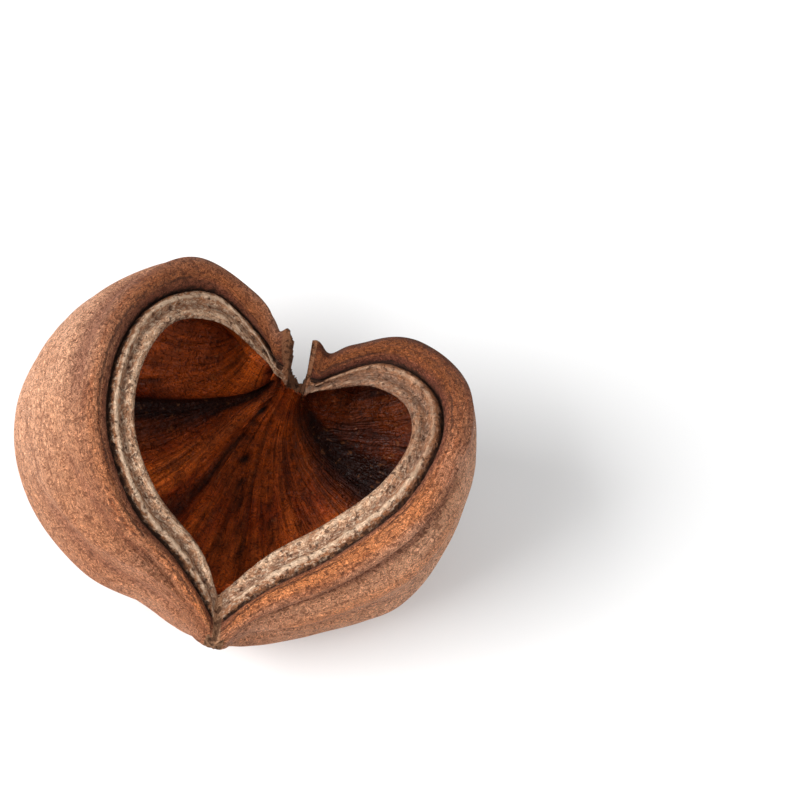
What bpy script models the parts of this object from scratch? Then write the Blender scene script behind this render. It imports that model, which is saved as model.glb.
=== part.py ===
"""An open sterculia pod: one thick woody shell, split along its seam and spread like a clam.

X runs across the mouth, Y from the stalk to the beak and Z up out of the mouth. The shell is
one closed surface. Each cross-section, from the stalk (u = 0) to the beak (u = 1), is a ring:
the outside from the left lip round the keel to the right lip, the right lip's band, the inside
back again and the left lip's band. The left and right halves meet at the stalk; at the beak the
ring is closed by the torn face between the two horns.
"""
import math

import bpy
import numpy as np

MM = 0.001

# Lines along the shell in millimetres, from the stalk to the beak, in a working frame whose
# origin is the point of the mouth. The left lobe is the larger, as on the real pod.
STALK = (2.6, -8.6, -3.0)
EDGE_RIGHT = [(0, 0, 0), (6.9, 9.7, 5), (15, 16.5, 11.5), (22.3, 25, 17.5), (25.2, 35, 19.8),
              (22.5, 43.8, 17.5), (15.1, 48.8, 12), (7.2, 48, 6.4), (2.8, 47.6, 2.6)]
EDGE_LEFT = [(0, 0, 0), (-6.5, 6, 5), (-17.3, 9.8, 13.5), (-25.3, 18, 19.5), (-28.2, 30, 22),
             (-25.7, 42.4, 20.5), (-17.5, 49.8, 14), (-8, 50, 7), (-0.8, 48.2, 2.6)]
LIP_RIGHT = [STALK, (10.5, -2, 5.5), (22, 5.5, 13.5), (32, 17, 21.5), (36, 33, 24.6),
             (33, 49.3, 23.2), (21.5, 58, 19), (8.8, 56, 12.7), (0.9, 53, 10.4)]
LIP_LEFT = [STALK, (-9.5, -2.5, 4.5), (-23.5, 1, 14), (-34.5, 13, 22), (-38.8, 29, 25.5),
            (-36.5, 45.5, 24.5), (-26.5, 58.5, 20.5), (-13.2, 58.2, 16), (-3.9, 53, 12.6)]
BELLY_RIGHT = [(2.6, -8.8, -5), (9.5, -3.2, -5.5), (22.5, 3.8, -6), (35.2, 13.2, -5),
               (40.6, 30, -3), (38.3, 46.5, -1), (25, 60, 1), (9, 58, 3), (2.4, 52.5, 4)]
BELLY_LEFT = [(2.6, -8.8, -5), (-9.5, -4.6, -6), (-26, -1.8, -7), (-42, 9.2, -6),
              (-50.3, 25.5, -3.5), (-46.8, 43, -1), (-30, 60, 1), (-12, 59, 3), (-1.6, 52.5, 4)]
KEEL = [(2.2, -7.6, -6), (0.5, -3, -14), (-2, 7, -21), (-4, 18, -24.6), (-4, 31, -25),
        (-2, 40, -21.5), (0, 45.5, -16), (1.3, 49.4, -9), (1.9, 51.4, 0)]

WALL = 5.5                 # thickness of the shell at the belly and the keel
CAVITY_CENTRE = (-3, 24)   # the walls thicken towards this line
BELLY_AT = 0.5             # share of a half section below the belly
CURL = math.radians(62)    # how far the flank turns in over the lip
REST_CUT = 1.2             # height of the keel flattened into a resting spot
HORN = 2.2                 # height of the higher horn over the lip
# For each side: the horn's share of that height, and where it starts and ends along the lip.
HORNS = {-1: (0.64, 0.965, 0.987), 1: (1.0, 0.940, 0.996)}

# Height across a lip, from the flank to the mouth: a rolled lip, a crack, a band with two ridges.
LIP_PROFILE = [(0, 0), (0.05, 0.8), (0.11, 1.4), (0.19, 1.8), (0.29, 1.7), (0.38, 1.2),
               (0.45, 0.4), (0.50, -1.3), (0.53, 0.1), (0.58, 1.05), (0.63, 1.2), (0.69, 0.6),
               (0.755, -0.2), (0.81, 0.15), (0.88, 0.85), (0.95, 0.75), (1, 0)]
CRACK_AT = 0.50            # place of the crack in the profile

# Folds of the inside, spread from the notch: bearing in degrees, width, height and lean near it.
NOTCH = (1.8, 52.0)
FAN = [(-86, 11, 2.0, 0), (-69, 3.2, -2.4, 0), (-60, 5, -1.2, 20), (-41, 7, 2.2, 45),
       (-28, 5, -1.4, 50), (-17, 5, 0.8, 60), (-6, 3.2, -0.7, 80), (4, 3.0, -1.1, 120),
       (8, 3.5, 0.7, 80), (15, 2.8, -1.0, 70), (25, 5, 0.7, 60), (36, 4, -0.9, 50),
       (47, 6, 0.9, 45), (66, 10, -2.2, 30), (96, 9, 1.4, 20)]

# Long folds of the flanks: place from keel to lip at the stalk, its change to the beak, width,
# height, and the stretch of shell from start to end.
FOLDS_LEFT = [(0.96, 0, 0.05, -1.5, 0.36, 0.62), (1.12, -0.69, 0.045, -1.0, 0.05, 0.33),
              (1.08, -1.1, 0.05, 0.9, 0.05, 0.32), (0.72, -0.2, 0.06, -1.1, 0.03, 0.34),
              (0.42, 0, 0.06, -1.0, 0.04, 0.50), (0.24, 0, 0.06, 0.5, 0.04, 0.40)]
FOLDS_RIGHT = [(0.80, 0.32, 0.045, -1.7, 0.05, 0.42), (0.56, 0.55, 0.07, 1.2, 0.08, 0.42),
               (0.50, 0.3, 0.06, -0.8, 0.04, 0.45), (0.34, 0, 0.07, 0.7, 0.05, 0.45)]

ROWS = 46                  # cross-sections
HALF = 14                  # steps from the keel to a lip, outside and inside

TAN = (0.46, 0.20, 0.10, 1.0)


def spline(points, u):
    """A smooth line through the given points, at shares u of its length in points."""
    p = np.array(points, float)
    n = len(p) - 1
    p = np.vstack([2 * p[0] - p[1], p, 2 * p[-1] - p[-2]])
    t = np.clip(u, 0, 1) * n
    k = np.minimum(t.astype(int), n - 1)
    f = (t - k)[:, None]
    a, b, c, d = p[k], p[k + 1], p[k + 2], p[k + 3]
    return b + 0.5 * f * (c - a + f * (2 * a - 5 * b + 4 * c - d + f * (3 * b - a - 3 * c + d)))


def ease(x, start, end):
    t = np.clip((x - start) / (end - start), 0, 1)
    return t * t * (3 - 2 * t)


def half_section(keel, belly, lip, s, crease):
    """From the keel (s = 0) out to the belly and up to the lip (s = 1), for every row."""
    keel, belly, lip = (line[:, None, :] for line in (keel, belly, lip))
    s, crease = s[None, :, None], crease[:, None, None]
    turn = np.clip(s / BELLY_AT, 0, 1) * math.pi / 2
    out, up = np.sin(turn), 1 - np.cos(turn)
    along = up * (1 - crease) + out * crease
    lower = (belly - keel) * np.concatenate([out + 0 * along, along, up + 0 * along], 2)
    turn = np.clip((s - BELLY_AT) / (1 - BELLY_AT), 0, 1) * CURL
    inward = (1 - np.cos(turn)) / (1 - math.cos(CURL))
    upper = (lip - belly) * np.concatenate([inward, inward, np.sin(turn) / math.sin(CURL)], 2)
    return keel + lower + upper


def normals(grid):
    """Unit normals of a grid of points; their sense follows the order of its rows and columns."""
    n = np.cross(np.gradient(grid, axis=0), np.gradient(grid, axis=1))
    return n / np.maximum(np.linalg.norm(n, axis=2, keepdims=True), 1e-9)


def outside(u, s, side):
    lip, belly = (LIP_RIGHT, BELLY_RIGHT) if side > 0 else (LIP_LEFT, BELLY_LEFT)
    share, start, end = HORNS[side]
    lip = spline(lip, u) + ease(u, start, end)[:, None] * share * HORN * np.array([0, 0.5, 1.0])
    grid = half_section(spline(KEEL, u), spline(belly, u), lip, s, 0.8 * ease(u, 0.55, 0.95))
    relief = 0
    for place, change, width, height, start, end in (FOLDS_RIGHT if side > 0 else FOLDS_LEFT):
        stretch = (ease(u, start, start + 0.12) * ease(u, end + 0.12, end))[:, None]
        place = (place + change * u)[:, None]
        relief = relief + height * stretch * np.exp(-((s[None, :] - place) / width) ** 2)
    knob = 0.55 * np.exp(-((u - 0.035) / 0.022) ** 2) * ease(u, 0, 0.02)
    relief = relief + knob[:, None] * ease(s, 1, 0.8)[None, :]
    return grid + normals(grid) * (side * relief)[:, :, None]


def inside(u, s, side):
    edge = spline(EDGE_RIGHT if side > 0 else EDGE_LEFT, u)
    belly = spline(BELLY_RIGHT if side > 0 else BELLY_LEFT, u)
    towards = np.array([*CAVITY_CENTRE, 0]) - belly * [1, 1, 0]
    belly = belly + WALL * towards / np.linalg.norm(towards, axis=1, keepdims=True)
    keel = spline(KEEL, u) + [0, 0, WALL]
    near_stalk, near_beak = ease(u, 0.22, 0)[:, None], ease(u, 0.8, 1)[:, None]
    belly += (edge - [0, 0, 1.5] - belly) * near_stalk
    keel += (edge * [0, 1, 1] + [0, 1, -3] - keel) * near_stalk
    belly += (edge - [0, 0, 1] - belly) * near_beak
    keel += (np.array([1.7, 47.8, 1.4]) - keel) * near_beak
    grid = half_section(keel, belly, edge, s, 0.4 * ease(u, 0.55, 0.95))
    dx, dy = grid[:, :, 0] - NOTCH[0], NOTCH[1] - grid[:, :, 1]
    bearing, reach = np.degrees(np.arctan2(dx, dy)), np.hypot(dx, dy)
    relief = sum(h * np.exp(-((bearing - at + lean * np.exp(-reach / 10)) / w) ** 2)
                 for at, w, h, lean in FAN)
    relief = relief * ease(reach, 1, 9) * ease(reach, 50, 34)
    relief = relief * ease(s, 1, 0.75)[None, :] * ease(u, 0.02, 0.12)[:, None]
    return grid - normals(grid) * (side * relief)[:, :, None]


def lip_shares(u):
    """How far across the lip each profile point lies; the band narrows towards the notch."""
    crack = 0.40 + 0.10 * ease(u, 0.10, 0.36) + 0.24 * ease(u, 0.76, 0.97)
    m, crack = np.array([m for m, _ in LIP_PROFILE])[None, :], crack[:, None]
    return np.where(m < CRACK_AT, m / CRACK_AT * crack,
                    crack + (m - CRACK_AT) / (1 - CRACK_AT) * (1 - crack))


def band(u, outer, inner, side):
    """The lip from the flank's edge to the mouth's edge, one column for each profile point."""
    across = inner - outer
    up = np.cross(np.gradient(inner + outer, axis=0), across) * side
    up /= np.maximum(np.linalg.norm(up, axis=1, keepdims=True), 1e-9)
    fade = np.clip(np.minimum(u / 0.06, (1 - u) / 0.04), 0, 1)[:, None]
    height = np.array([h for _, h in LIP_PROFILE])[None, :] * fade
    return (outer[:, None] + across[:, None] * lip_shares(u)[:, :, None]
            + up[:, None] * height[:, :, None])


def shell():
    """All the vertices and faces of the shell."""
    t = np.linspace(0, 1, ROWS)
    u = t - 0.06 * np.sin(2 * math.pi * t)
    t = np.linspace(0, 1, HALF + 1)
    s = t + 0.05 * np.sin(2 * math.pi * t)
    out_l, out_r = outside(u, s, -1), outside(u, s, 1)
    in_l, in_r = inside(u, s, -1), inside(u, s, 1)
    out = np.concatenate([out_l[:, ::-1], out_r[:, 1:]], 1)
    inn = np.concatenate([in_l[:, ::-1], in_r[:, 1:]], 1)
    floor = out[:, :, 2].min() + REST_CUT
    out[:, :, 2] = np.maximum(out[:, :, 2], floor)
    left = band(u, out[:, 0], inn[:, 0], -1)
    right = band(u, out[:, -1], inn[:, -1], 1)

    steps = lip_shares(u)[-1][None, :, None]
    beak = out[-1][:, None] * (1 - steps) + inn[-1][:, None] * steps
    beak[0], beak[-1] = left[-1], right[-1]

    verts, index = [], {}

    def number(point):
        key = tuple(np.round(point, 5))
        if key not in index:
            index[key] = len(verts)
            verts.append(tuple(point))
        return index[key]

    faces = []
    for grid, flip in ((out, False), (inn, True), (left, True), (right, False), (beak, True)):
        ids = [[number(p) for p in row] for row in grid]
        for a, b in zip(ids, ids[1:]):
            for i in range(len(a) - 1):
                face = [a[i], b[i], b[i + 1], a[i + 1]]
                face = [v for k, v in enumerate(face) if v != face[k - 1]]
                if len(set(face)) > 2:
                    faces.append(face[::-1] if flip else face)
    return np.array(verts), faces


def main():
    for ob in list(bpy.data.objects):
        bpy.data.objects.remove(ob, do_unlink=True)
    verts, faces = shell()
    low, high = verts.min(0), verts.max(0)
    verts = (verts - [*(low + high)[:2] / 2, low[2]]) * MM
    mesh = bpy.data.meshes.new("pod")
    mesh.from_pydata(verts.tolist(), [], faces)
    mesh.validate()
    mesh.shade_smooth()
    material = bpy.data.materials.new("woody_shell")
    material.use_nodes = True
    shader = material.node_tree.nodes["Principled BSDF"]
    shader.inputs["Base Color"].default_value = TAN
    shader.inputs["Roughness"].default_value = 0.7
    shader.inputs["Metallic"].default_value = 0.0
    mesh.materials.append(material)
    pod = bpy.data.objects.new("pod", mesh)
    home = bpy.data.collections.new("sterculia_pod")
    bpy.context.scene.collection.children.link(home)
    home.objects.link(pod)


main()
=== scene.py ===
"""An open sterculia pod on a pale floor: the woody shell with its skin, lip band and inside."""
import math

import bpy
import numpy as np
from bpy.props import FloatProperty, FloatVectorProperty, IntProperty, PointerProperty
from mathutils import Matrix, Vector


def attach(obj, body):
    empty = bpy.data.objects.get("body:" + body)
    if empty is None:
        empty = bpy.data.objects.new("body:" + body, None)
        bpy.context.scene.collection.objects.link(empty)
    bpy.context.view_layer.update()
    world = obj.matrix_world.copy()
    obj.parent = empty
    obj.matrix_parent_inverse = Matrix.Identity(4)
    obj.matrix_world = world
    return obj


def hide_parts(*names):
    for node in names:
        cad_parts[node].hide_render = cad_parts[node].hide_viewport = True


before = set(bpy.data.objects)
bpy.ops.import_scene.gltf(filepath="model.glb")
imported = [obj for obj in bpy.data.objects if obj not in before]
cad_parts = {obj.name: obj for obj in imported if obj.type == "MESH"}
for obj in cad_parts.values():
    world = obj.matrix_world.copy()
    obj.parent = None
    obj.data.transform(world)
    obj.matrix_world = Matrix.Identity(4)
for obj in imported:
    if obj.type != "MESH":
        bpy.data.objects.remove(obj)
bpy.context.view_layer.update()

bl_info = {
    "name": "Sterculia pod",
    "version": (1, 0, 0),
    "blender": (4, 5, 0),
    "location": "3D View > Sidebar > Pod",
    "description": "Grows an open sterculia pod and lays it on a lit floor",
    "category": "Add Mesh",
}

MM = 0.001

# Lines along the shell in millimetres, from the stalk to the beak, as in the solid. The origin
# is the point of the mouth; X runs across it, Y to the beak and Z up out of it.
STALK = (2.6, -8.6, -3.0)
EDGE_RIGHT = [(0, 0, 0), (6.9, 9.7, 5), (15, 16.5, 11.5), (22.3, 25, 17.5), (25.2, 35, 19.8),
              (22.5, 43.8, 17.5), (15.1, 48.8, 12), (7.2, 48, 6.4), (2.8, 47.6, 2.6)]
EDGE_LEFT = [(0, 0, 0), (-6.5, 6, 5), (-17.3, 9.8, 13.5), (-25.3, 18, 19.5), (-28.2, 30, 22),
             (-25.7, 42.4, 20.5), (-17.5, 49.8, 14), (-8, 50, 7), (-0.8, 48.2, 2.6)]
LIP_RIGHT = [STALK, (10.5, -2, 5.5), (22, 5.5, 13.5), (32, 17, 21.5), (36, 33, 24.6),
             (33, 49.3, 23.2), (21.5, 58, 19), (8.8, 56, 12.7), (0.9, 53, 10.4)]
LIP_LEFT = [STALK, (-9.5, -2.5, 4.5), (-23.5, 1, 14), (-34.5, 13, 22), (-38.8, 29, 25.5),
            (-36.5, 45.5, 24.5), (-26.5, 58.5, 20.5), (-13.2, 58.2, 16), (-3.9, 53, 12.6)]
BELLY_RIGHT = [(2.6, -8.8, -5), (9.5, -3.2, -5.5), (22.5, 3.8, -6), (35.2, 13.2, -5),
               (40.6, 30, -3), (38.3, 46.5, -1), (25, 60, 1), (9, 58, 3), (2.4, 52.5, 4)]
BELLY_LEFT = [(2.6, -8.8, -5), (-9.5, -4.6, -6), (-26, -1.8, -7), (-42, 9.2, -6),
              (-50.3, 25.5, -3.5), (-46.8, 43, -1), (-30, 60, 1), (-12, 59, 3), (-1.6, 52.5, 4)]
KEEL = [(2.2, -7.6, -6), (0.5, -3, -14), (-2, 7, -21), (-4, 18, -24.6), (-4, 31, -25),
        (-2, 40, -21.5), (0, 45.5, -16), (1.3, 49.4, -9), (1.9, 51.4, 0)]
CAVITY_CENTRE = (-3, 24)   # the walls thicken towards this line
BELLY_AT = 0.5             # share of a half section below the belly
CURL = math.radians(62)    # how far the flank turns in over the lip

# Height across a lip, from the flank to the mouth: a rolled lip, a crack, a band with two ridges.
LIP_PROFILE = [(0, 0), (0.05, 0.8), (0.11, 1.4), (0.19, 1.8), (0.29, 1.7), (0.38, 1.2),
               (0.44, 0.5), (0.475, -0.1), (0.50, -1.4), (0.53, 0.1), (0.58, 1.05),
               (0.63, 1.2), (0.69, 0.6), (0.745, -0.2), (0.79, 0.0), (0.86, 0.8),
               (0.92, 0.9), (0.97, 0.6), (1, 0)]
CRACK_AT = 0.50            # place of the crack in the profile
# For each side (-1 left, 1 right): the horn's share of its height, its start and its end.
HORNS = {-1: (0.64, 0.974, 0.993), 1: (1.0, 0.935, 0.994)}
# Dips and swellings of each lip before its horn: place, width and height.
LIP_WAVES = {-1: [(0.960, 0.022, -1.3)], 1: [(0.922, 0.028, -1.5), (0.81, 0.05, 0.9)]}

# Folds of the inside spread from the notch: bearing, width, height and lean near the notch.
NOTCH = (1.8, 52.0)
FAN = [(-86, 11, 2.0, 0), (-69, 3.2, -2.4, 0), (-60, 5, -1.2, 20), (-41, 7, 2.2, 45),
       (-28, 5, -1.4, 50), (-17, 5, 0.8, 60), (-6, 3.2, -0.7, 80), (4, 3.0, -1.1, 120),
       (8, 3.5, 0.7, 80), (15, 2.8, -1.0, 70), (25, 5, 0.7, 60), (36, 4, -0.9, 50),
       (47, 6, 0.9, 45), (66, 10, -2.2, 30), (96, 9, 1.4, 20)]

# Folds of the flanks: place from keel to lip at the stalk, its change to the beak, width,
# height, and the stretch of shell from start to end.
FOLDS_LEFT = [(0.96, 0, 0.05, -1.5, 0.36, 0.62), (1.12, -0.69, 0.045, -1.0, 0.05, 0.33),
              (1.08, -1.1, 0.05, 0.9, 0.05, 0.32), (0.72, -0.2, 0.06, -1.1, 0.03, 0.34),
              (0.42, 0, 0.06, -1.0, 0.04, 0.50), (0.24, 0, 0.06, 0.5, 0.04, 0.40)]
FOLDS_RIGHT = [(0.80, 0.32, 0.045, -1.7, 0.05, 0.42), (0.56, 0.55, 0.07, 1.2, 0.08, 0.42),
               (0.50, 0.3, 0.06, -0.8, 0.04, 0.45), (0.34, 0, 0.07, 0.7, 0.05, 0.45)]

# Rough size of the shell along and round, in millimetres, for relief and grain.
SHELL_LENGTH, SHELL_ROUND, SKIN_ROUND = 80, 55, 58
# The rows crowd towards both ends and the steps towards the belly by these shares.
ROW_CROWD, BELLY_CROWD = 0.06, 0.05
# Where the grain maps of the sheets lie beside the skin's, and the fan's width in its map.
RIGHT_BAND_GRAIN, INSIDE_GRAIN, BEAK_GRAIN = 70, 140, 220
FAN_GRAIN = 0.45
# Painted shade of the inside's right hollow and left lobe in its grain map, from clear to full.
RIGHT_HOLLOW_SHADE, LEFT_LOBE_SHADE = (156.0, 168.0), (113.0, 105.0)
# Vertices closer than this, in metres, are one where the sheets meet.
MERGE = 1e-7
# What each vertex remembers for the finishes: the distance in millimetres from the crack and
# from the mouth's edge, how torn it is and the height of its folds.
MARKS = ("from_crack", "from_mouth", "torn", "folds")

# Every finish puts out its colour and its height in millimetres; two have a roughness that
# changes, and these are the others'.
FINISH_SOCKETS = [("Colour", "Color"), ("Height", "Float")]
CORK_ROUGHNESS, TORN_ROUGHNESS = 0.78, 0.85
# Multiplied tints: painted shade in the skin's wrinkles, its strokes, and the inside's fibres.
VALLEY_SHADE, STROKE, FIBRE = (0.38, 0.26, 0.20), (0.40, 0.28, 0.22), (0.30, 0.20, 0.16)

# The stage: each light's place and size in metres, the spot that they face, and the camera's
# place and aim in millimetres and its roll.
LIGHTS = {"key": ((-1.25, -0.80, 0.95), 1.3), "fill": ((0.95, -0.85, 0.90), 1.0)}
LIT_SPOT = (0, 0, 0.02)
EYE, AIM, ROLL = (4.8, -218.6, 431.2), (26.1, 20.9, 37.5), math.radians(23.7)


class PodShape(bpy.types.PropertyGroup):
    wall: FloatProperty(name="Wall", description="Thickness of the shell at the belly",
                        default=0.0055, min=0.002, max=0.01, unit="LENGTH")
    horn: FloatProperty(name="Horns", description="Height of the higher horn over the lip",
                        default=0.0022, min=0, max=0.006, unit="LENGTH")
    rest_cut: FloatProperty(name="Resting spot", description="Height of the keel worn flat",
                            default=0.0012, min=0, max=0.003, unit="LENGTH")
    rows: IntProperty(name="Rows", description="Cross-sections from the stalk to the beak",
                      default=225, min=40, max=260)
    half: IntProperty(name="Half section", description="Steps from the keel to a lip",
                      default=84, min=14, max=100)
    across: IntProperty(name="Lip steps", description="Steps across a lip",
                        default=30, min=16, max=40)


class PodLooks(bpy.types.PropertyGroup):
    skin: FloatVectorProperty(name="Skin", description="Colour of the flanks", subtype="COLOR",
                              size=3, default=(0.62, 0.318, 0.195), min=0, max=1)
    skin_rust: FloatVectorProperty(name="Rust", description="Orange-brown parts of the skin",
                                   subtype="COLOR", size=3, default=(0.42, 0.150, 0.058),
                                   min=0, max=1)
    lip: FloatVectorProperty(name="Lip", description="Colour of the rolled lips",
                             subtype="COLOR", size=3, default=(0.19, 0.052, 0.016), min=0, max=1)
    band: FloatVectorProperty(name="Band", description="Corky band along the mouth",
                              subtype="COLOR", size=3, default=(0.74, 0.455, 0.280),
                              min=0, max=1)
    crack: FloatVectorProperty(name="Crack", description="Dark crack outside the band",
                               subtype="COLOR", size=3, default=(0.030, 0.014, 0.008),
                               min=0, max=1)
    inside: FloatVectorProperty(name="Inside", description="Dark polished inside",
                                subtype="COLOR", size=3, default=(0.31, 0.044, 0.006),
                                min=0, max=1)
    inside_rust: FloatVectorProperty(name="Inside rust", description="Rusty folds of the inside",
                                     subtype="COLOR", size=3, default=(0.74, 0.150, 0.018),
                                     min=0, max=1)
    torn: FloatVectorProperty(name="Torn wood", description="Rough wood of the scar and horns",
                              subtype="COLOR", size=3, default=(0.30, 0.145, 0.075),
                              min=0, max=1)


class PodStage(bpy.types.PropertyGroup):
    key: FloatProperty(name="Key light", description="Power of the large soft light",
                       default=52.0, min=0, unit="POWER")
    fill: FloatProperty(name="Fill light", description="Power of the second light",
                        default=6.5, min=0, unit="POWER")
    sky: FloatProperty(name="Surroundings", description="Strength of the pale surroundings",
                       default=0.56, min=0, max=3)
    lens: FloatProperty(name="Lens", description="Focal length in millimetres",
                        default=104.1, min=20, max=300, unit="CAMERA")


# Shape

def spline(points, u):
    """A smooth line through the given points, at shares u of its length in points."""
    p = np.array(points, float)
    n = len(p) - 1
    p = np.vstack([2 * p[0] - p[1], p, 2 * p[-1] - p[-2]])
    t = np.clip(u, 0, 1) * n
    k = np.minimum(t.astype(int), n - 1)
    f = (t - k)[:, None]
    a, b, c, d = p[k], p[k + 1], p[k + 2], p[k + 3]
    return b + 0.5 * f * (c - a + f * (2 * a - 5 * b + 4 * c - d + f * (3 * b - a - 3 * c + d)))


def ease(x, start, end):
    """A smooth step from 0 to 1 as x goes from start to end."""
    t = np.clip((x - start) / (end - start), 0, 1)
    return t * t * (3 - 2 * t)


def half_section(keel, belly, lip, s, crease):
    """From the keel (s = 0) out to the belly and up to the lip (s = 1), for every row."""
    keel, belly, lip = (line[:, None, :] for line in (keel, belly, lip))
    s, crease = s[None, :, None], crease[:, None, None]
    turn = np.clip(s / BELLY_AT, 0, 1) * math.pi / 2
    out, up = np.sin(turn), 1 - np.cos(turn)
    along = up * (1 - crease) + out * crease
    lower = (belly - keel) * np.concatenate([out + 0 * along, along, up + 0 * along], 2)
    turn = np.clip((s - BELLY_AT) / (1 - BELLY_AT), 0, 1) * CURL
    inward = (1 - np.cos(turn)) / (1 - math.cos(CURL))
    upper = (lip - belly) * np.concatenate([inward, inward, np.sin(turn) / math.sin(CURL)], 2)
    return keel + lower + upper


def normals(grid):
    """Unit normals of a grid of points; their sense follows the order of its rows and columns."""
    n = np.cross(np.gradient(grid, axis=0), np.gradient(grid, axis=1))
    return n / np.maximum(np.linalg.norm(n, axis=2, keepdims=True), 1e-9)


def lumps(x, y, seed):
    """Smooth noise between about -1 and 1 at the given places, the same on every run."""
    table = np.random.default_rng(seed).uniform(-1, 1, (64, 64))
    i, j = np.floor(x).astype(int), np.floor(y).astype(int)
    fx, fy = x - i, y - j
    fx, fy = fx * fx * (3 - 2 * fx), fy * fy * (3 - 2 * fy)
    i0, i1, j0, j1 = i % 64, (i + 1) % 64, j % 64, (j + 1) % 64
    low = table[i0, j0] * (1 - fx) + table[i1, j0] * fx
    high = table[i0, j1] * (1 - fx) + table[i1, j1] * fx
    return low * (1 - fy) + high * fy


def lengths(grid, axis):
    """Distance run along each line of a grid, in the grid's units."""
    step = np.linalg.norm(np.diff(grid, axis=axis), axis=2)
    zero = np.zeros_like(step[:1] if axis == 0 else step[:, :1])
    return np.cumsum(np.concatenate([zero, step], axis), axis)


def outside(u, s, side, horn):
    """Half of the outside, from keel to lip, and the height of its folds."""
    lip, belly = (LIP_RIGHT, BELLY_RIGHT) if side > 0 else (LIP_LEFT, BELLY_LEFT)
    share, start, end = HORNS[side]
    lip = spline(lip, u) + ease(u, start, end)[:, None] * share * horn * np.array([0, 0.5, 1.0])
    for place, width, height in LIP_WAVES[side]:
        wave = height * np.exp(-((u - place) / width) ** 2)
        lip = lip + wave[:, None] * np.array([0, 0.7, 0.7])
    grid = half_section(spline(KEEL, u), spline(belly, u), lip, s, 0.8 * ease(u, 0.55, 0.95))
    folds = 0
    for place, change, width, height, start, end in (FOLDS_RIGHT if side > 0 else FOLDS_LEFT):
        stretch = (ease(u, start, start + 0.12) * ease(u, end + 0.12, end))[:, None]
        place = (place + change * u)[:, None]
        folds = folds + height * stretch * np.exp(-((s[None, :] - place) / width) ** 2)
    knob = 0.55 * np.exp(-((u - 0.035) / 0.022) ** 2) * ease(u, 0, 0.02)
    relief = folds + knob[:, None] * ease(s, 1, 0.8)[None, :]
    along, over = u[:, None] * SHELL_LENGTH, s[None, :] * SHELL_ROUND
    fibre = 0.16 * lumps(along / 11, over / 2.6, 3) + 0.09 * lumps(along / 5, over / 1.3, 4)
    broad = 0.35 * lumps(along / 14, over / 9, 5 if side > 0 else 6)
    wild = ease(u, 0.02, 0.12)[:, None] * ease(s, 1, 0.93)[None, :]
    relief = relief + (fibre + broad) * wild
    ends = (ease(u, 0.966, 0.982) + ease(u, 0.035, 0.012) * ease(u, 0, 0.01))[:, None]
    relief = relief + 0.35 * lumps(along * 1.1, over * 1.3, 7) * ends * ease(s, 1, 0.96)[None, :]
    return grid + normals(grid) * (side * relief)[:, :, None], folds


def inside(u, s, side, wall):
    """Half of the inside, from keel to mouth, and the height of its folds."""
    edge = spline(EDGE_RIGHT if side > 0 else EDGE_LEFT, u)
    belly = spline(BELLY_RIGHT if side > 0 else BELLY_LEFT, u)
    towards = np.array([*CAVITY_CENTRE, 0]) - belly * [1, 1, 0]
    belly = belly + wall * towards / np.linalg.norm(towards, axis=1, keepdims=True)
    keel = spline(KEEL, u) + [0, 0, wall]
    near_stalk, near_beak = ease(u, 0.22, 0)[:, None], ease(u, 0.8, 1)[:, None]
    belly += (edge - [0, 0, 1.5] - belly) * near_stalk
    keel += (edge * [0, 1, 1] + [0, 1, -3] - keel) * near_stalk
    belly += (edge - [0, 0, 1] - belly) * near_beak
    keel += (np.array([1.7, 47.8, 1.4]) - keel) * near_beak
    grid = half_section(keel, belly, edge, s, 0.4 * ease(u, 0.55, 0.95))
    bearing, reach = fan_place(grid)
    folds = sum(h * np.exp(-((bearing - at + lean * np.exp(-reach / 10)) / w) ** 2)
                for at, w, h, lean in FAN)
    folds = folds * ease(reach, 1, 9) * ease(reach, 50, 34)
    relief = folds + 0.22 * lumps(bearing / 4.3 + 40, reach / 17, 8)
    for size, height, seed in ((3.4, 0.30, 9), (1.5, 0.14, 10)):
        relief = relief + height * lumps(grid[:, :, 0] / size, grid[:, :, 1] / size, seed)
    relief = relief * ease(s, 1, 0.75)[None, :] * ease(u, 0.02, 0.12)[:, None]
    return grid - normals(grid) * (side * relief)[:, :, None], folds


def fan_place(grid):
    """Bearing in degrees and distance of each point, seen from the notch."""
    dx, dy = grid[:, :, 0] - NOTCH[0], NOTCH[1] - grid[:, :, 1]
    return np.degrees(np.arctan2(dx, dy)), np.hypot(dx, dy)


def crack_share(u):
    """How far across the lip the crack lies: the band narrows from the stalk to the notch."""
    return 0.40 + 0.10 * ease(u, 0.10, 0.36) + 0.24 * ease(u, 0.76, 0.97)


def band(u, outer, inner, side, steps):
    """The lip from the flank's edge to the mouth's edge, its height and its share across."""
    across = inner - outer
    up = np.cross(np.gradient(inner + outer, axis=0), across) * side
    up /= np.maximum(np.linalg.norm(up, axis=1, keepdims=True), 1e-9)
    fade = np.clip(np.minimum(u / 0.06, (1 - u) / 0.04), 0, 1)[:, None, None]
    at, height = np.array(LIP_PROFILE).T
    height = np.interp(steps, at, height)[None, :]
    run = lengths(((inner + outer) / 2)[:, None], 0)
    over = steps[None, :] * 12
    corky = ease(steps, 0.44, 0.48) * ease(steps, 1, 0.96)
    rough = 0.18 * lumps(run / 1.7, over / 1.2, 11) + 0.16 * lumps(run / 0.8, over / 0.7, 12)
    wavy = 0.12 * lumps(run / 6, over / 1.2, 13)
    height = height + rough * corky[None, :] + wavy * ease(steps, 0, 0.1) * ease(steps, 1, 0.9)
    crack = crack_share(u)[:, None]
    share = np.where(steps < CRACK_AT, steps / CRACK_AT * crack,
                     crack + (steps - CRACK_AT) / (1 - CRACK_AT) * (1 - crack))
    lip = outer[:, None] + across[:, None] * share[:, :, None]
    height = height * fade[:, :, 0]
    return lip + up[:, None] * height[:, :, None], height, share


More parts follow.
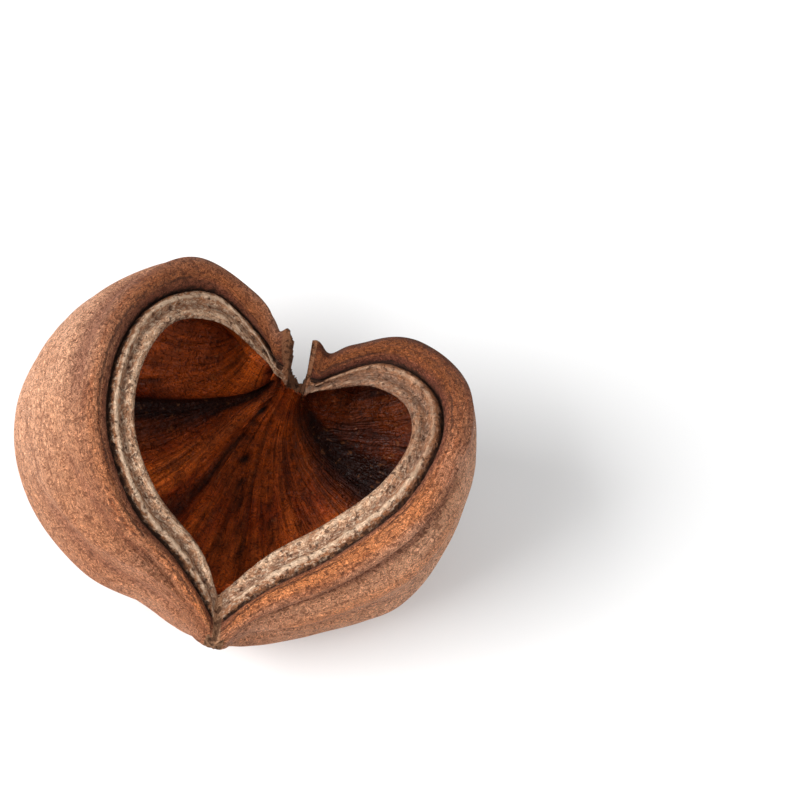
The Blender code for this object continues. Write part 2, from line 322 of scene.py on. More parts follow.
def torn_face(outer, inner, left, right, part, steps):
    """The rough face that closes the beak between the ends of the lips."""
    face = outer[:, None] * (1 - part) + inner[:, None] * part
    face[0], face[-1] = left, right
    row = np.arange(len(face))
    rough = lumps(row[:, None] / 1.7, steps[None, :] * 9, 15)
    middle = ease(steps, 0, 0.15) * ease(steps, 1, 0.85)
    edge = ease(row, 0, 8) * ease(row[::-1], 0, 8)
    face[:, :, 1] += 0.5 * rough * middle * edge[:, None]
    return face


def grow(shape):
    """The five sheets of the shell. Each has its points, its grain places and its marks: the
    distance from the crack and from the mouth's edge, how torn it is and its folds' height."""
    t = np.linspace(0, 1, shape.rows)
    u = t - ROW_CROWD * np.sin(2 * math.pi * t)
    t = np.linspace(0, 1, shape.half + 1)
    s = t + BELLY_CROWD * np.sin(2 * math.pi * t)
    steps = np.linspace(0, 1, shape.across + 1)
    out = [outside(u, s, side, shape.horn / MM) for side in (-1, 1)]
    inn = [inside(u, s, side, shape.wall / MM) for side in (-1, 1)]
    out, folds = (np.concatenate([a[:, ::-1], b[:, 1:]], 1) for a, b in zip(*out))
    inn, fan = (np.concatenate([a[:, ::-1], b[:, 1:]], 1) for a, b in zip(*inn))
    floor = out[:, :, 2].min() + shape.rest_cut / MM
    out[:, :, 2] = np.maximum(out[:, :, 2], floor)
    left, left_height, share = band(u, out[:, 0], inn[:, 0], -1, steps)
    right, right_height, share = band(u, out[:, -1], inn[:, -1], 1, steps)
    part = share[-1][None, :, None]
    beak = torn_face(out[-1], inn[-1], left[-1], right[-1], part, steps)

    # The marks of each sheet, from distances along and across it.
    ends = np.broadcast_to(u[:, None], out.shape[:2])
    lips = ease(np.abs(np.concatenate([-s[::-1], s[1:]])), 0.45, 0.7)[None, :]
    scar = ease(ends, 0.030, 0.012) + ease(ends, 0.966, 0.984) * lips
    over = lengths(out, 1)
    keel_at = over[:, [shape.half]]
    reach = over[:, [-1]] - over
    to_lip = np.minimum(over, reach)
    width = np.stack([np.linalg.norm(inn[:, i] - out[:, i], axis=1) for i in (0, -1)])
    crack = crack_share(u)[:, None]
    lip = np.where(over < keel_at, width[0][:, None], width[1][:, None])
    along = lengths(out[:, ::12], 0).mean(1)[:, None]
    wide = np.concatenate([-s[::-1], s[1:]])[None, :] * SKIN_ROUND
    sheets = [("outside", out, (along + 0 * wide, wide + 0 * along),
               (-to_lip - crack * lip, -to_lip - lip, scar, folds))]
    for name, grid, w, height, aside in (
            ("left_band", left, width[0][:, None], left_height, 0),
            ("right_band", right, width[1][:, None], right_height, RIGHT_BAND_GRAIN)):
        run = lengths(grid[:, [0, -1]], 0).mean(1)[:, None]
        place = share * w
        end = np.broadcast_to(u[:, None], place.shape)
        torn = ease(end, 0.972, 0.990) * ease(place, w, 0.8 * w) + ease(end, 0.02, 0.008) * 0.6
        sheets.append((name, grid, (run + 0 * place, place + aside),
                       (place - crack * w, place - w, torn, height)))
    over = lengths(inn, 1)
    deep = np.minimum(over, over[:, [-1]] - over)
    bearing, reach = fan_place(inn)
    w = np.where(over < over[:, [shape.half]], width[0][:, None], width[1][:, None])
    spread = (bearing + 60 * np.exp(-reach / 10)) * FAN_GRAIN
    sheets.append(("inside", inn, (reach, spread + INSIDE_GRAIN),
                   (w * (1 - crack) + deep, deep, 0 * deep, fan)))
    face = np.ones(beak.shape[:2])
    down = np.arange(beak.shape[0])[:, None] * 0.3
    sheets.append(("beak", beak, (steps[None, :] * 8 * face, down * face + BEAK_GRAIN),
                   (-3 * face, -9 * face, face, 0 * face)))
    return sheets


def place_of_shell(sheets):
    """What moves the shell so that it rests at the middle of the frame's floor."""
    points = np.concatenate([grid.reshape(-1, 3) for _, grid, _, _ in sheets])
    low, high = points.min(0), points.max(0)
    return -np.array([*(low + high)[:2] / 2, low[2]])


def sheet_mesh(name, grid, grain, marks):
    """A grid primitive with its vertices laid on the given points."""
    rows, columns = grid.shape[:2]
    bpy.ops.mesh.primitive_grid_add(x_subdivisions=columns - 1, y_subdivisions=rows - 1, size=1)
    ob = bpy.context.object
    ob.name = name
    mesh = ob.data
    flat = np.empty(len(mesh.vertices) * 3)
    mesh.vertices.foreach_get("co", flat)
    flat = flat.reshape(-1, 3)
    i = np.rint((flat[:, 0] + 0.5) * (columns - 1)).astype(int)
    j = np.rint((flat[:, 1] + 0.5) * (rows - 1)).astype(int)
    mesh.vertices.foreach_set("co", (grid[j, i] * MM).ravel())
    loops = np.empty(len(mesh.loops), int)
    mesh.loops.foreach_get("vertex_index", loops)
    layer = mesh.uv_layers[0]
    layer.name = "grain"
    uv = np.stack([grain[0][j, i], grain[1][j, i]], 1)[loops]
    layer.data.foreach_set("uv", uv.ravel())
    for mark, values in zip(MARKS, marks):
        attribute = mesh.attributes.new(mark, "FLOAT", "POINT")
        attribute.data.foreach_set("value", np.ascontiguousarray(values[j, i]))
    return ob


# Materials

def add(tree, kind, ins=None, **settings):
    """A node with its settings and its inputs, which are values or other nodes' sockets."""
    node = tree.nodes.new(kind)
    for key, value in settings.items():
        setattr(node, key, value)
    for key, value in (ins or {}).items():
        if isinstance(value, bpy.types.NodeSocket):
            tree.links.new(value, node.inputs[key])
        else:
            node.inputs[key].default_value = value
    return node


def group(name, inputs, outputs):
    """An empty node group with its sockets, and its input and output nodes."""
    tree = bpy.data.node_groups.new(name, "ShaderNodeTree")
    for way, sockets in (("INPUT", inputs), ("OUTPUT", outputs)):
        for label, kind, *default in sockets:
            socket = tree.interface.new_socket(label, in_out=way, socket_type="NodeSocket" + kind)
            if default:
                socket.default_value = default[0]
    return tree, tree.nodes.new("NodeGroupInput"), tree.nodes.new("NodeGroupOutput")


def use(tree, made, **ins):
    """A group placed in a tree; its inputs are given by their names, with _ for a space."""
    return add(tree, "ShaderNodeGroup", {k.replace("_", " "): v for k, v in ins.items()},
               node_tree=made)


def ramp(tree, value, low, high, start=0.0, end=1.0):
    """A smooth step of a value from start to end as it goes from low to high."""
    return add(tree, "ShaderNodeMapRange", {"Value": value, "From Min": low, "From Max": high,
               "To Min": start, "To Max": end}, interpolation_type="SMOOTHSTEP").outputs[0]


def mix(tree, share, a, b, way="MIX"):
    """Colour a with a share of colour b laid on it."""
    node = add(tree, "ShaderNodeMix", data_type="RGBA", blend_type=way)
    for key, value in ((0, share), (6, a), (7, b)):
        if isinstance(value, bpy.types.NodeSocket):
            tree.links.new(value, node.inputs[key])
        else:
            node.inputs[key].default_value = value if key == 0 else (*value[:3], 1)
    return node.outputs[2]


def sums(tree, first, *rest, way="ADD"):
    """The sum of some values or sockets, or another sum done in their order."""
    for other in rest:
        first = add(tree, "ShaderNodeMath", {0: first, 1: other}, operation=way).outputs[0]
    return first


def times(tree, first, *rest):
    """The product of some values or sockets."""
    return sums(tree, first, *rest, way="MULTIPLY")


def build_flecks():
    """Marks drawn out along the grain: a mask of flecks and an even noise of the same size."""
    tree, i, o = group("grain_flecks",
                       [("Place", "Vector"), ("Long", "Float", 2.0), ("Wide", "Float", 0.4),
                        ("Cover", "Float", 0.3), ("Soft", "Float", 0.1), ("Shift", "Float", 0.0)],
                       [("Mask", "Float"), ("Even", "Float")])
    scale = add(tree, "ShaderNodeCombineXYZ", {
        0: sums(tree, 1.0, i.outputs["Long"], way="DIVIDE"),
        1: sums(tree, 1.0, i.outputs["Wide"], way="DIVIDE"), 2: 1.0})
    shift = add(tree, "ShaderNodeCombineXYZ", {0: i.outputs["Shift"], 1: i.outputs["Shift"]})
    moved = add(tree, "ShaderNodeVectorMath", {0: i.outputs["Place"], 1: scale.outputs[0]},
                operation="MULTIPLY")
    moved = add(tree, "ShaderNodeVectorMath", {0: moved.outputs[0], 1: shift.outputs[0]},
                operation="ADD")
    noise = add(tree, "ShaderNodeTexNoise", {"Vector": moved.outputs[0], "Scale": 1.0,
                "Detail": 3.0, "Roughness": 0.6, "Distortion": 0.25}, noise_dimensions="2D")
    line = sums(tree, 0.72, times(tree, i.outputs["Cover"], 0.5), way="SUBTRACT")
    mask = ramp(tree, noise.outputs[0], line, sums(tree, line, i.outputs["Soft"]))
    tree.links.new(mask, o.inputs["Mask"])
    tree.links.new(noise.outputs[0], o.inputs["Even"])
    return tree


def build_patches():
    """Soft patches in the round, in millimetres."""
    tree, i, o = group("soft_patches",
                       [("Place", "Vector"), ("Size", "Float", 10.0), ("Low", "Float", 0.4),
                        ("High", "Float", 0.6)], [("Mask", "Float")])
    noise = add(tree, "ShaderNodeTexNoise", {
        "Vector": i.outputs["Place"], "Detail": 4.0, "Roughness": 0.55,
        "Scale": sums(tree, 1000.0, i.outputs["Size"], way="DIVIDE")})
    mask = ramp(tree, noise.outputs[0], i.outputs["Low"], i.outputs["High"])
    tree.links.new(mask, o.inputs["Mask"])
    return tree


def build_worms():
    """Short wandering wrinkles, like those of dried skin: even noise, and a mask of the crests."""
    tree, i, o = group("wandering_wrinkles",
                       [("Place", "Vector"), ("Size", "Float", 0.9), ("Twist", "Float", 1.6)],
                       [("Crest", "Float"), ("Even", "Float")])
    noise = add(tree, "ShaderNodeTexNoise", {
        "Vector": i.outputs["Place"], "Detail": 2.0, "Roughness": 0.55,
        "Distortion": i.outputs["Twist"],
        "Scale": sums(tree, 1000.0, i.outputs["Size"], way="DIVIDE")})
    off = add(tree, "ShaderNodeMath", {0: sums(tree, noise.outputs[0], 0.5, way="SUBTRACT")},
              operation="ABSOLUTE")
    tree.links.new(ramp(tree, off.outputs[0], 0.075, 0.0), o.inputs["Crest"])
    tree.links.new(noise.outputs[0], o.inputs["Even"])
    return tree


def darken(tree, share, colour, tint):
    """The colour with a share of a tint multiplied in."""
    return mix(tree, share, colour, tint, way="MULTIPLY")


def lift(tree, share, colour):
    """The colour with a share of itself added."""
    return mix(tree, share, colour, colour, way="ADD")


def blend(tree, share, a, b):
    """Value a with a share of value b in its place."""
    return add(tree, "ShaderNodeMix", {0: share, 2: a, 3: b}).outputs[0]


def put_out(tree, o, *values):
    """Link what a finish puts out, in the order of its sockets."""
    for socket, value in zip(o.inputs, values):
        tree.links.new(value, socket)


def build_skin(flecks, patches, worms, looks):
    """Dry wrinkled skin of the flanks and, near the crack, of the rolled lips."""
    tree, i, o = group("skin_finish", [("Grain", "Vector"), ("Place", "Vector"),
                       ("From crack", "Float"), ("Folds", "Float")],
                       FINISH_SOCKETS + [("Roughness", "Float")])
    grain, place, crack, folds = (
        i.outputs[name] for name in ("Grain", "Place", "From crack", "Folds"))
    x, y, _ = add(tree, "ShaderNodeSeparateXYZ", {0: place}).outputs
    broad = use(tree, patches, Place=place, Size=16.0, Low=0.38, High=0.62).outputs[0]
    small = use(tree, patches, Place=place, Size=4.5, Low=0.42, High=0.64).outputs[0]
    dirt = use(tree, patches, Place=place, Size=2.2, Low=0.56, High=0.70).outputs[0]
    crest, valley = use(tree, worms, Place=place, Size=1.0, Twist=1.4).outputs
    fine = use(tree, worms, Place=place, Size=0.5, Twist=0.8).outputs[0]
    broken = use(tree, worms, Place=place, Size=1.9, Twist=2.4).outputs[0]
    hatch = use(tree, flecks, Place=grain, Long=1.3, Wide=0.5, Cover=0.46, Soft=0.16, Shift=71.0)
    streak = use(tree, flecks, Place=grain, Long=14.0, Wide=1.5, Cover=0.44, Soft=0.22, Shift=3.0)
    dark = use(tree, flecks, Place=grain, Long=1.2, Wide=0.4, Cover=0.34, Soft=0.08,
               Shift=31.0).outputs[0]
    reddish = use(tree, flecks, Place=grain, Long=9.0, Wide=0.8, Cover=0.5, Soft=0.2,
                  Shift=43.0).outputs[0]

    # Tones of the flanks: rust in patches, pale on the larger lobe and far from the right lip.
    colour = mix(tree, times(tree, broad, 0.7), looks.skin, looks.skin_rust)
    colour = mix(tree, times(tree, small, 0.3), colour, (0.42, 0.185, 0.125))
    colour = mix(tree, ramp(tree, x, -0.018, -0.036, 0.0, 0.5), colour, (0.80, 0.43, 0.255))
    pale = times(tree, ramp(tree, x, 0.008, 0.028), ramp(tree, crack, -6.0, -12.0))
    colour = mix(tree, times(tree, pale, 0.60), colour, (0.74, 0.395, 0.230))
    # Painted shade: the flanks darker towards the stalk.
    colour = mix(tree, ramp(tree, y, -0.004, -0.022, 0.0, 0.6), colour, (0.38, 0.152, 0.068))

    # The rolled lips: browner towards the beak, partly painted shade there, and reddish.
    near = ramp(tree, crack, -10.0, -3.0)
    lip_brown_and_shade = times(tree, ramp(tree, y, -0.012, 0.024, 0.30, 0.87),
                 ramp(tree, x, 0.044, 0.032, 0.30, 1.0))
    # Painted shade, darkest on the right lip near the beak.
    painted_shade = times(tree, ramp(tree, y, 0.006, 0.026), ramp(tree, x, -0.008, 0.006),
                   ramp(tree, x, 0.040, 0.031, 0.3, 1.0))
    colour = mix(tree, times(tree, near, lip_brown_and_shade), colour, looks.lip)
    colour = mix(tree, ramp(tree, y, 0.004, 0.034, 0.0, 0.32), colour, looks.lip)
    colour = mix(tree, times(tree, painted_shade, 0.95), colour, (0.080, 0.018, 0.005))
    colour = mix(tree, times(tree, near, reddish, 0.7), colour, (0.20, 0.052, 0.020))

    # The folds: a painted orange highlight on the crests, most on the lower right.
    lower = times(tree, ramp(tree, y, 0.006, -0.012), ramp(tree, x, -0.02, 0.01))
    painted_highlight = times(tree, ramp(tree, folds, 0.3, 1.7), ramp(tree, lower, 0.0, 1.0, 0.22, 0.65))
    colour = mix(tree, painted_highlight, colour, (0.60, 0.20, 0.060))
    # Painted shade in the folds' valleys and, beside the crack, as a dark rim.
    colour = mix(tree, ramp(tree, folds, -0.3, -1.4, 0.0, 0.6), colour, (0.22, 0.078, 0.048))
    colour = mix(tree, ramp(tree, crack, -2.6, -1.0, 0.0, 0.6), colour, (0.16, 0.052, 0.034))

    # Streaks, strokes and wrinkles, with a second thin line beside the crack.
    colour = mix(tree, times(tree, streak.outputs[0], 0.34), colour, (0.20, 0.068, 0.032))
    colour = darken(tree, times(tree, hatch.outputs[0], 0.22), colour, STROKE)
    # Painted shade in the wrinkles' valleys.
    colour = darken(tree, ramp(tree, valley, 0.49, 0.64, 0.0, 0.62), colour, VALLEY_SHADE)
    colour = darken(tree, times(tree, broken, 0.24), colour, STROKE)
    beside = add(tree, "ShaderNodeMath", {0: sums(tree, crack, 2.3)}, operation="ABSOLUTE")
    beside = ramp(tree, beside.outputs[0], 0.42, 0.08)
    line = times(tree, beside, ramp(tree, streak.outputs[1], 0.44, 0.52), 0.75)
    colour = mix(tree, line, colour, (0.055, 0.020, 0.012))
    # Painted highlight on the wrinkles' crests, a little weaker far out on the left, and on finer
    # crests.
    colour = lift(tree, times(tree, crest, ramp(tree, x, -0.034, -0.012, 0.62, 0.85)), colour)
    colour = lift(tree, times(tree, fine, 0.35), colour)
    dark_share = times(tree, dark, sums(tree, 0.35, times(tree, near, 0.35)))
    colour = mix(tree, dark_share, colour, (0.11, 0.038, 0.019))
    colour = mix(tree, times(tree, dirt, 0.3), colour, (0.18, 0.066, 0.036))

    height = sums(tree, times(tree, crest, 0.22), times(tree, fine, 0.14),
                  times(tree, valley, -0.50), times(tree, streak.outputs[1], 0.2),
                  times(tree, dark, -0.12), times(tree, hatch.outputs[1], -0.25),
                  times(tree, broken, -0.10), times(tree, beside, -0.25))
    put_out(tree, o, colour, height, sums(tree, 0.60, times(tree, small, 0.14)))
    return tree


def build_band(flecks, patches, worms, looks):
    """Pale corky band: pitted, cracked, brown groove, ridges of chalk and painted highlight."""
    tree, i, o = group("band_finish", [("Grain", "Vector"), ("Place", "Vector"),
                       ("Over", "Float"), ("Folds", "Float")], FINISH_SOCKETS)
    grain, place, over, folds = (i.outputs[name] for name in ("Grain", "Place", "Over", "Folds"))
    x, y, _ = add(tree, "ShaderNodeSeparateXYZ", {0: place}).outputs
    pits = use(tree, patches, Place=place, Size=1.1, Low=0.575, High=0.655).outputs[0]
    dirty = use(tree, patches, Place=place, Size=7.0, Low=0.42, High=0.60).outputs[0]
    rusty = use(tree, patches, Place=place, Size=3.2, Low=0.48, High=0.62).outputs[0]
    crazed = use(tree, worms, Place=place, Size=1.0, Twist=1.8).outputs[0]
    lines = use(tree, flecks, Place=grain, Long=2.2, Wide=0.30, Cover=0.44, Soft=0.10, Shift=83.0)
    brown = use(tree, flecks, Place=grain, Long=4.0, Wide=0.8, Cover=0.48, Soft=0.16, Shift=23.0)
    chalk = use(tree, flecks, Place=grain, Long=1.3, Wide=0.5, Cover=0.46, Soft=0.12, Shift=61.0)

    # Tones: painted shade on the right by the beak, brown in the groove and along both edges.
    painted_shade = times(tree, ramp(tree, y, -0.010, 0.014), ramp(tree, x, -0.004, 0.008))
    groove, foot, edge = (ramp(tree, folds, 0.65, -0.15), ramp(tree, over, 0.54, 0.16),
                          ramp(tree, over, 0.86, 1.0))
    colour = mix(tree, times(tree, dirty, 0.5), looks.band, (0.34, 0.19, 0.115))
    colour = mix(tree, times(tree, painted_shade, 0.85), colour, (0.155, 0.082, 0.052))
    colour = mix(tree, times(tree, brown.outputs[0], 0.6), colour, (0.30, 0.115, 0.048))
    colour = mix(tree, times(tree, groove, 0.7), colour, (0.20, 0.115, 0.078))
    colour = mix(tree, times(tree, foot, 0.85), colour, (0.30, 0.115, 0.045))
    colour = mix(tree, times(tree, edge, 0.55), colour, (0.26, 0.12, 0.070))
    colour = mix(tree, times(tree, rusty, 0.45), colour, (0.40, 0.165, 0.070))

    # Chalk flecks, ridges of chalk and painted highlight, thin dark lines and cracks, and pits.
    chalky = times(tree, chalk.outputs[0], ramp(tree, painted_shade, 0.0, 1.0, 0.5, 0.15))
    colour = mix(tree, chalky, colour, (0.84, 0.65, 0.47))
    colour = mix(tree, times(tree, lines.outputs[0], 0.5), colour, (0.30, 0.13, 0.07))
    colour = mix(tree, times(tree, crazed, 0.5), colour, (0.14, 0.06, 0.032))
    ridge_chalk_and_highlight = times(tree, ramp(tree, folds, 0.75, 1.15), ramp(tree, painted_shade, 0.0, 1.0, 0.55, 0.2))
    colour = mix(tree, ridge_chalk_and_highlight, colour, (0.86, 0.64, 0.45))
    colour = mix(tree, times(tree, pits, 0.75), colour, (0.08, 0.032, 0.018))

    height = sums(tree, times(tree, pits, -0.35), times(tree, chalk.outputs[1], 0.30),
                  times(tree, crazed, -0.16), times(tree, brown.outputs[1], 0.20),
                  times(tree, lines.outputs[1], -0.25))
    put_out(tree, o, colour, height)
    return tree


def build_inside(flecks, patches, worms, looks):
    """Dark polished inside: rusty folds, nearly black painted shade in hollows, fine mottling."""
    tree, i, o = group("inside_finish", [("Grain", "Vector"), ("Place", "Vector"),
                       ("Folds", "Float")], FINISH_SOCKETS + [("Roughness", "Float")])
    grain, place, folds = (i.outputs[name] for name in ("Grain", "Place", "Folds"))
    across = add(tree, "ShaderNodeSeparateXYZ", {0: grain}).outputs[1]
    y = add(tree, "ShaderNodeSeparateXYZ", {0: place}).outputs[1]
    rusty = use(tree, patches, Place=place, Size=13.0, Low=0.40, High=0.62).outputs[0]
    cloudy = use(tree, patches, Place=place, Size=5.0, Low=0.44, High=0.62).outputs[0]
    specks = use(tree, patches, Place=place, Size=1.3, Low=0.60, High=0.70).outputs[0]
    glint, mottle = use(tree, worms, Place=place, Size=0.9, Twist=1.2).outputs
    broad = use(tree, flecks, Place=grain, Long=34.0, Wide=4.2, Cover=0.48, Soft=0.22, Shift=7.0)
    thin = use(tree, flecks, Place=grain, Long=9.0, Wide=0.7, Cover=0.46, Soft=0.14, Shift=29.0)
    fibres = use(tree, flecks, Place=grain, Long=12.0, Wide=0.6, Cover=0.5, Soft=0.16,
                 Shift=37.0).outputs[0]
    black = use(tree, flecks, Place=grain, Long=22.0, Wide=2.4, Cover=0.44, Soft=0.16,
                Shift=53.0).outputs[0]

    # Tones: rust in patches and on the crests, partly a painted highlight there.
    colour = mix(tree, times(tree, rusty, 0.5), looks.inside, looks.inside_rust)
    colour = mix(tree, ramp(tree, folds, 0.2, 1.5, 0.0, 0.8), colour, looks.inside_rust)
    colour = mix(tree, times(tree, broad.outputs[0], 0.35), colour, looks.inside_rust)
    colour = mix(tree, times(tree, cloudy, 0.40), colour, (0.07, 0.012, 0.003))
    # Painted shade in the right hollow, on the left lobe and in the creases.
    colour = mix(tree, ramp(tree, across, *RIGHT_HOLLOW_SHADE, 0.0, 0.8), colour, (0.05, 0.010, 0.003))
    colour = darken(tree, ramp(tree, across, *LEFT_LOBE_SHADE, 0.0, 0.55), colour, (0.45, 0.40, 0.55))
    colour = mix(tree, ramp(tree, folds, -0.2, -1.5, 0.0, 0.93), colour, (0.018, 0.004, 0.002))

    # Fibres, black streaks, mottling, painted glints, painted shade towards the notch, rusty
    # specks.
    colour = lift(tree, times(tree, thin.outputs[0], 0.35), colour)
    colour = darken(tree, times(tree, fibres, 0.45), colour, FIBRE)
    colour = mix(tree, times(tree, black, 0.5), colour, (0.025, 0.006, 0.002))
    colour = darken(tree, ramp(tree, mottle, 0.48, 0.66, 0.0, 0.6), colour, FIBRE)
    colour = lift(tree, times(tree, glint, 0.5), colour)
    colour = darken(tree, ramp(tree, y, -0.002, 0.018, 0.0, 0.6), colour, (0.30, 0.22, 0.22))
    colour = mix(tree, times(tree, specks, 0.22), colour, (0.46, 0.17, 0.06))

    height = sums(tree, times(tree, broad.outputs[1], 0.4), times(tree, thin.outputs[1], 0.35),
                  times(tree, black, -0.25), times(tree, mottle, -0.6))
    put_out(tree, o, colour, height, sums(tree, 0.31, times(tree, cloudy, 0.25)))
    return tree


def build_torn(flecks, patches, looks):
    """Rough fibres of the stalk's scar and, darker, of the torn beak."""
    tree, i, o = group("torn_finish", [("Grain", "Vector"), ("Place", "Vector")], FINISH_SOCKETS)
    grain, place = i.outputs["Grain"], i.outputs["Place"]
    y = add(tree, "ShaderNodeSeparateXYZ", {0: place}).outputs[1]
    threads = use(tree, flecks, Place=grain, Long=2.0, Wide=0.3, Cover=0.5, Soft=0.2, Shift=11.0)
    holes = use(tree, patches, Place=place, Size=1.3, Low=0.52, High=0.62).outputs[0]
    colour = mix(tree, times(tree, threads.outputs[0], 0.5), looks.torn, (0.50, 0.30, 0.18))
    colour = darken(tree, ramp(tree, y, 0.0, 0.02, 0.0, 0.9), colour, (0.58, 0.45, 0.38))
    colour = mix(tree, times(tree, holes, 0.8), colour, (0.07, 0.028, 0.014))
    put_out(tree, o, colour, sums(tree, times(tree, threads.outputs[1], 0.5),
                                  times(tree, holes, -0.4)))
    return tree


def shell_material(looks):
    """One material for the shell: each finish is laid on by the marks left in the mesh."""
    material = bpy.data.materials.new("woody_shell")
    material.use_nodes = True
    tree = material.node_tree
    tree.nodes.clear()
    flecks, patches, worms = build_flecks(), build_patches(), build_worms()
    grain = add(tree, "ShaderNodeUVMap", uv_map="grain").outputs[0]
    place = add(tree, "ShaderNodeTexCoord").outputs["Object"]
    crack, mouth, torn, folds = (
        add(tree, "ShaderNodeAttribute", attribute_name=name).outputs["Fac"] for name in MARKS)

    # The share across the band, then uneven edges for the finishes.
    over = sums(tree, crack, sums(tree, crack, times(tree, mouth, -1.0)), way="DIVIDE")
    wander = add(tree, "ShaderNodeTexNoise", {"Vector": place, "Scale": 900.0, "Detail": 3.0})
    wander = sums(tree, times(tree, wander.outputs[0], 1.4), 0.7, way="SUBTRACT")
    crack, mouth = sums(tree, crack, wander), sums(tree, mouth, times(tree, wander, 0.6))

    skin = use(tree, build_skin(flecks, patches, worms, looks), Grain=grain, Place=place,
               From_crack=crack, Folds=folds)
    cork = use(tree, build_band(flecks, patches, worms, looks), Grain=grain, Place=place,
               Over=over, Folds=folds)
    dark = use(tree, build_inside(flecks, patches, worms, looks), Grain=grain, Place=place,
               Folds=folds)
    wood = use(tree, build_torn(flecks, patches, looks), Grain=grain, Place=place)
    colour, height, rough = skin.outputs
    for share, layer, layer_rough in (
            (ramp(tree, crack, 0.0, 0.5), cork, CORK_ROUGHNESS),
            (ramp(tree, mouth, -0.1, 0.6), dark, dark.outputs["Roughness"]),
            (ramp(tree, torn, 0.25, 0.6), wood, TORN_ROUGHNESS)):
        colour = mix(tree, share, colour, layer.outputs["Colour"])
        rough = blend(tree, share, rough, layer_rough)
        height = blend(tree, share, height, layer.outputs["Height"])
    cleft = times(tree, ramp(tree, crack, -0.75, -0.15), ramp(tree, crack, 0.65, 0.15),
                  ramp(tree, torn, 0.3, 0.1))
    colour = mix(tree, times(tree, cleft, 0.9), colour, looks.crack)
    bump = add(tree, "ShaderNodeBump", {"Strength": 1.0, "Distance": MM, "Height": height})
    shader = add(tree, "ShaderNodeBsdfPrincipled", {
        "Base Color": colour, "Roughness": rough, "Normal": bump.outputs[0],
        "Specular IOR Level": 0.17})
    add(tree, "ShaderNodeOutputMaterial", {"Surface": shader.outputs[0]})
    return material


def floor_material():
    """Matt and nearly white, with a faint unevenness."""
    material = bpy.data.materials.new("pale_floor")
    material.use_nodes = True
    tree = material.node_tree
    shader = tree.nodes["Principled BSDF"]
    place = add(tree, "ShaderNodeTexCoord").outputs["Object"]
    noise = add(tree, "ShaderNodeTexNoise", {"Vector": place, "Scale": 4.0, "Detail": 2.0})
    tone = mix(tree, ramp(tree, noise.outputs[0], 0.3, 0.7), (0.88, 0.88, 0.88),
               (0.90, 0.90, 0.90))
    tree.links.new(tone, shader.inputs["Base Color"])
    shader.inputs["Roughness"].default_value = 0.9
    shader.inputs["Specular IOR Level"].default_value = 0.1
    return material


# Operators

def nothing_selected():
    """Deselect everything, because an operator acts on all that is selected."""
    for ob in bpy.context.selected_objects:
        ob.select_set(False)


class POD_OT_grow_shell(bpy.types.Operator):
    """Grow the pod's woody shell from its five sheets and give it its finishes"""
    bl_idname = "pod.grow_shell"
    bl_label = "Grow the shell"

    def execute(self, context):
        settings = context.scene
        nothing_selected()
        sheets = grow(settings.pod_shape)
        move = place_of_shell(sheets)
        parts = []
        for name, grid, grain, marks in sheets:
            nothing_selected()
            parts.append(sheet_mesh(name, grid + move, grain, marks))
        for ob in parts:
            ob.select_set(True)
        context.view_layer.objects.active = parts[0]
        bpy.ops.object.join()
        pod = context.view_layer.objects.active
        pod.name = pod.data.name = "woody_pod"
        bpy.ops.object.mode_set(mode="EDIT")
        bpy.ops.mesh.select_all(action="SELECT")
        bpy.ops.mesh.remove_doubles(threshold=MERGE)
        bpy.ops.mesh.normals_make_consistent(inside=False)
        bpy.ops.object.mode_set(mode="OBJECT")
        bpy.ops.object.shade_smooth()
        open_edges = len(pod.data.edges) * 2 - len(pod.data.loops)
        if open_edges:
            raise RuntimeError(f"the shell isn't closed: {open_edges} edges are open")
        pod.data.materials.clear()
        pod.data.materials.append(shell_material(settings.pod_looks))
        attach(pod, "root")
        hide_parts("pod")
        return {"FINISHED"}


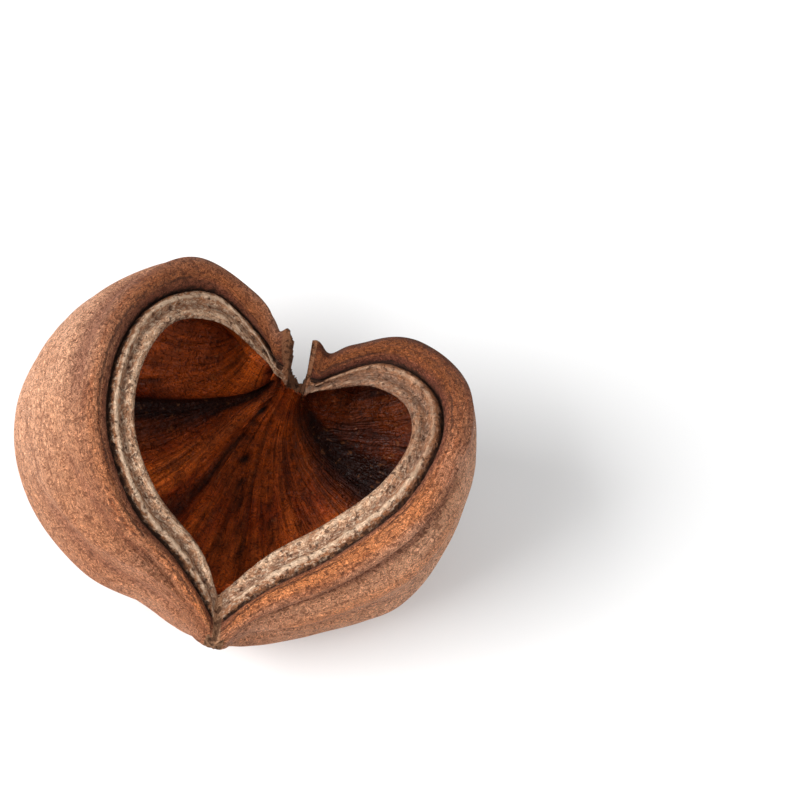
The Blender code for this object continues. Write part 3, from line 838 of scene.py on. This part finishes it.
class POD_OT_lay_stage(bpy.types.Operator):
    """Lay the pale floor and set the soft lights and the camera"""
    bl_idname = "pod.lay_stage"
    bl_label = "Lay the stage"

    def execute(self, context):
        stage = context.scene.pod_stage
        nothing_selected()
        bpy.ops.mesh.primitive_plane_add(size=4)
        floor = context.object
        floor.name = "floor"
        floor.data.materials.append(floor_material())
        world = bpy.data.worlds.new("pale_room")
        world.use_nodes = True
        back = world.node_tree.nodes["Background"]
        back.inputs[0].default_value = (1, 1, 1, 1)
        back.inputs[1].default_value = stage.sky
        context.scene.world = world
        for name, (at, size) in LIGHTS.items():
            self.light(context, name, at, size, getattr(stage, name))
        self.camera(context, stage.lens)
        context.scene.view_settings.view_transform = "Standard"
        return {"FINISHED"}

    def light(self, context, name, at, size, power):
        nothing_selected()
        bpy.ops.object.light_add(type="AREA", location=at)
        lamp = context.object
        lamp.name = name
        lamp.data.size = size
        lamp.data.energy = power
        towards = Vector(LIT_SPOT) - Vector(at)
        lamp.rotation_euler = towards.to_track_quat("-Z", "Y").to_euler()

    def camera(self, context, lens):
        """Seen from over the stalk, about 60 degrees up, with the pod's length tipped over."""
        nothing_selected()
        bpy.ops.object.camera_add()
        camera = context.object
        camera.name = "camera"
        eye, aim = Vector(EYE) * MM, Vector(AIM) * MM
        back = (eye - aim).normalized()
        level = Vector((0, 0, 1)).cross(back).normalized()
        right = level * math.cos(ROLL) + back.cross(level) * math.sin(ROLL)
        turn = Matrix((right, back.cross(right), back)).transposed().to_4x4()
        camera.matrix_world = Matrix.Translation(eye) @ turn
        camera.data.lens = lens
        camera.data.sensor_width = 36
        camera.data.clip_start = 0.01
        context.scene.camera = camera


class POD_PT_panel(bpy.types.Panel):
    bl_idname = "POD_PT_panel"
    bl_label = "Sterculia pod"
    bl_space_type = "VIEW_3D"
    bl_region_type = "UI"
    bl_category = "Pod"

    def draw(self, context):
        scene = context.scene
        for settings in (scene.pod_shape, scene.pod_looks, scene.pod_stage):
            box = self.layout.box()
            for name in settings.__annotations__:
                box.prop(settings, name)
        self.layout.operator("pod.grow_shell")
        self.layout.operator("pod.lay_stage")


CLASSES = (PodShape, PodLooks, PodStage, POD_OT_grow_shell, POD_OT_lay_stage, POD_PT_panel)


def register():
    for cls in CLASSES:
        bpy.utils.register_class(cls)
    bpy.types.Scene.pod_shape = PointerProperty(type=PodShape)
    bpy.types.Scene.pod_looks = PointerProperty(type=PodLooks)
    bpy.types.Scene.pod_stage = PointerProperty(type=PodStage)


def unregister():
    del bpy.types.Scene.pod_stage, bpy.types.Scene.pod_looks, bpy.types.Scene.pod_shape
    for cls in reversed(CLASSES):
        bpy.utils.unregister_class(cls)


def main():
    register()
    bpy.ops.pod.grow_shell()
    bpy.ops.pod.lay_stage()


if __name__ == "__main__":
    main()
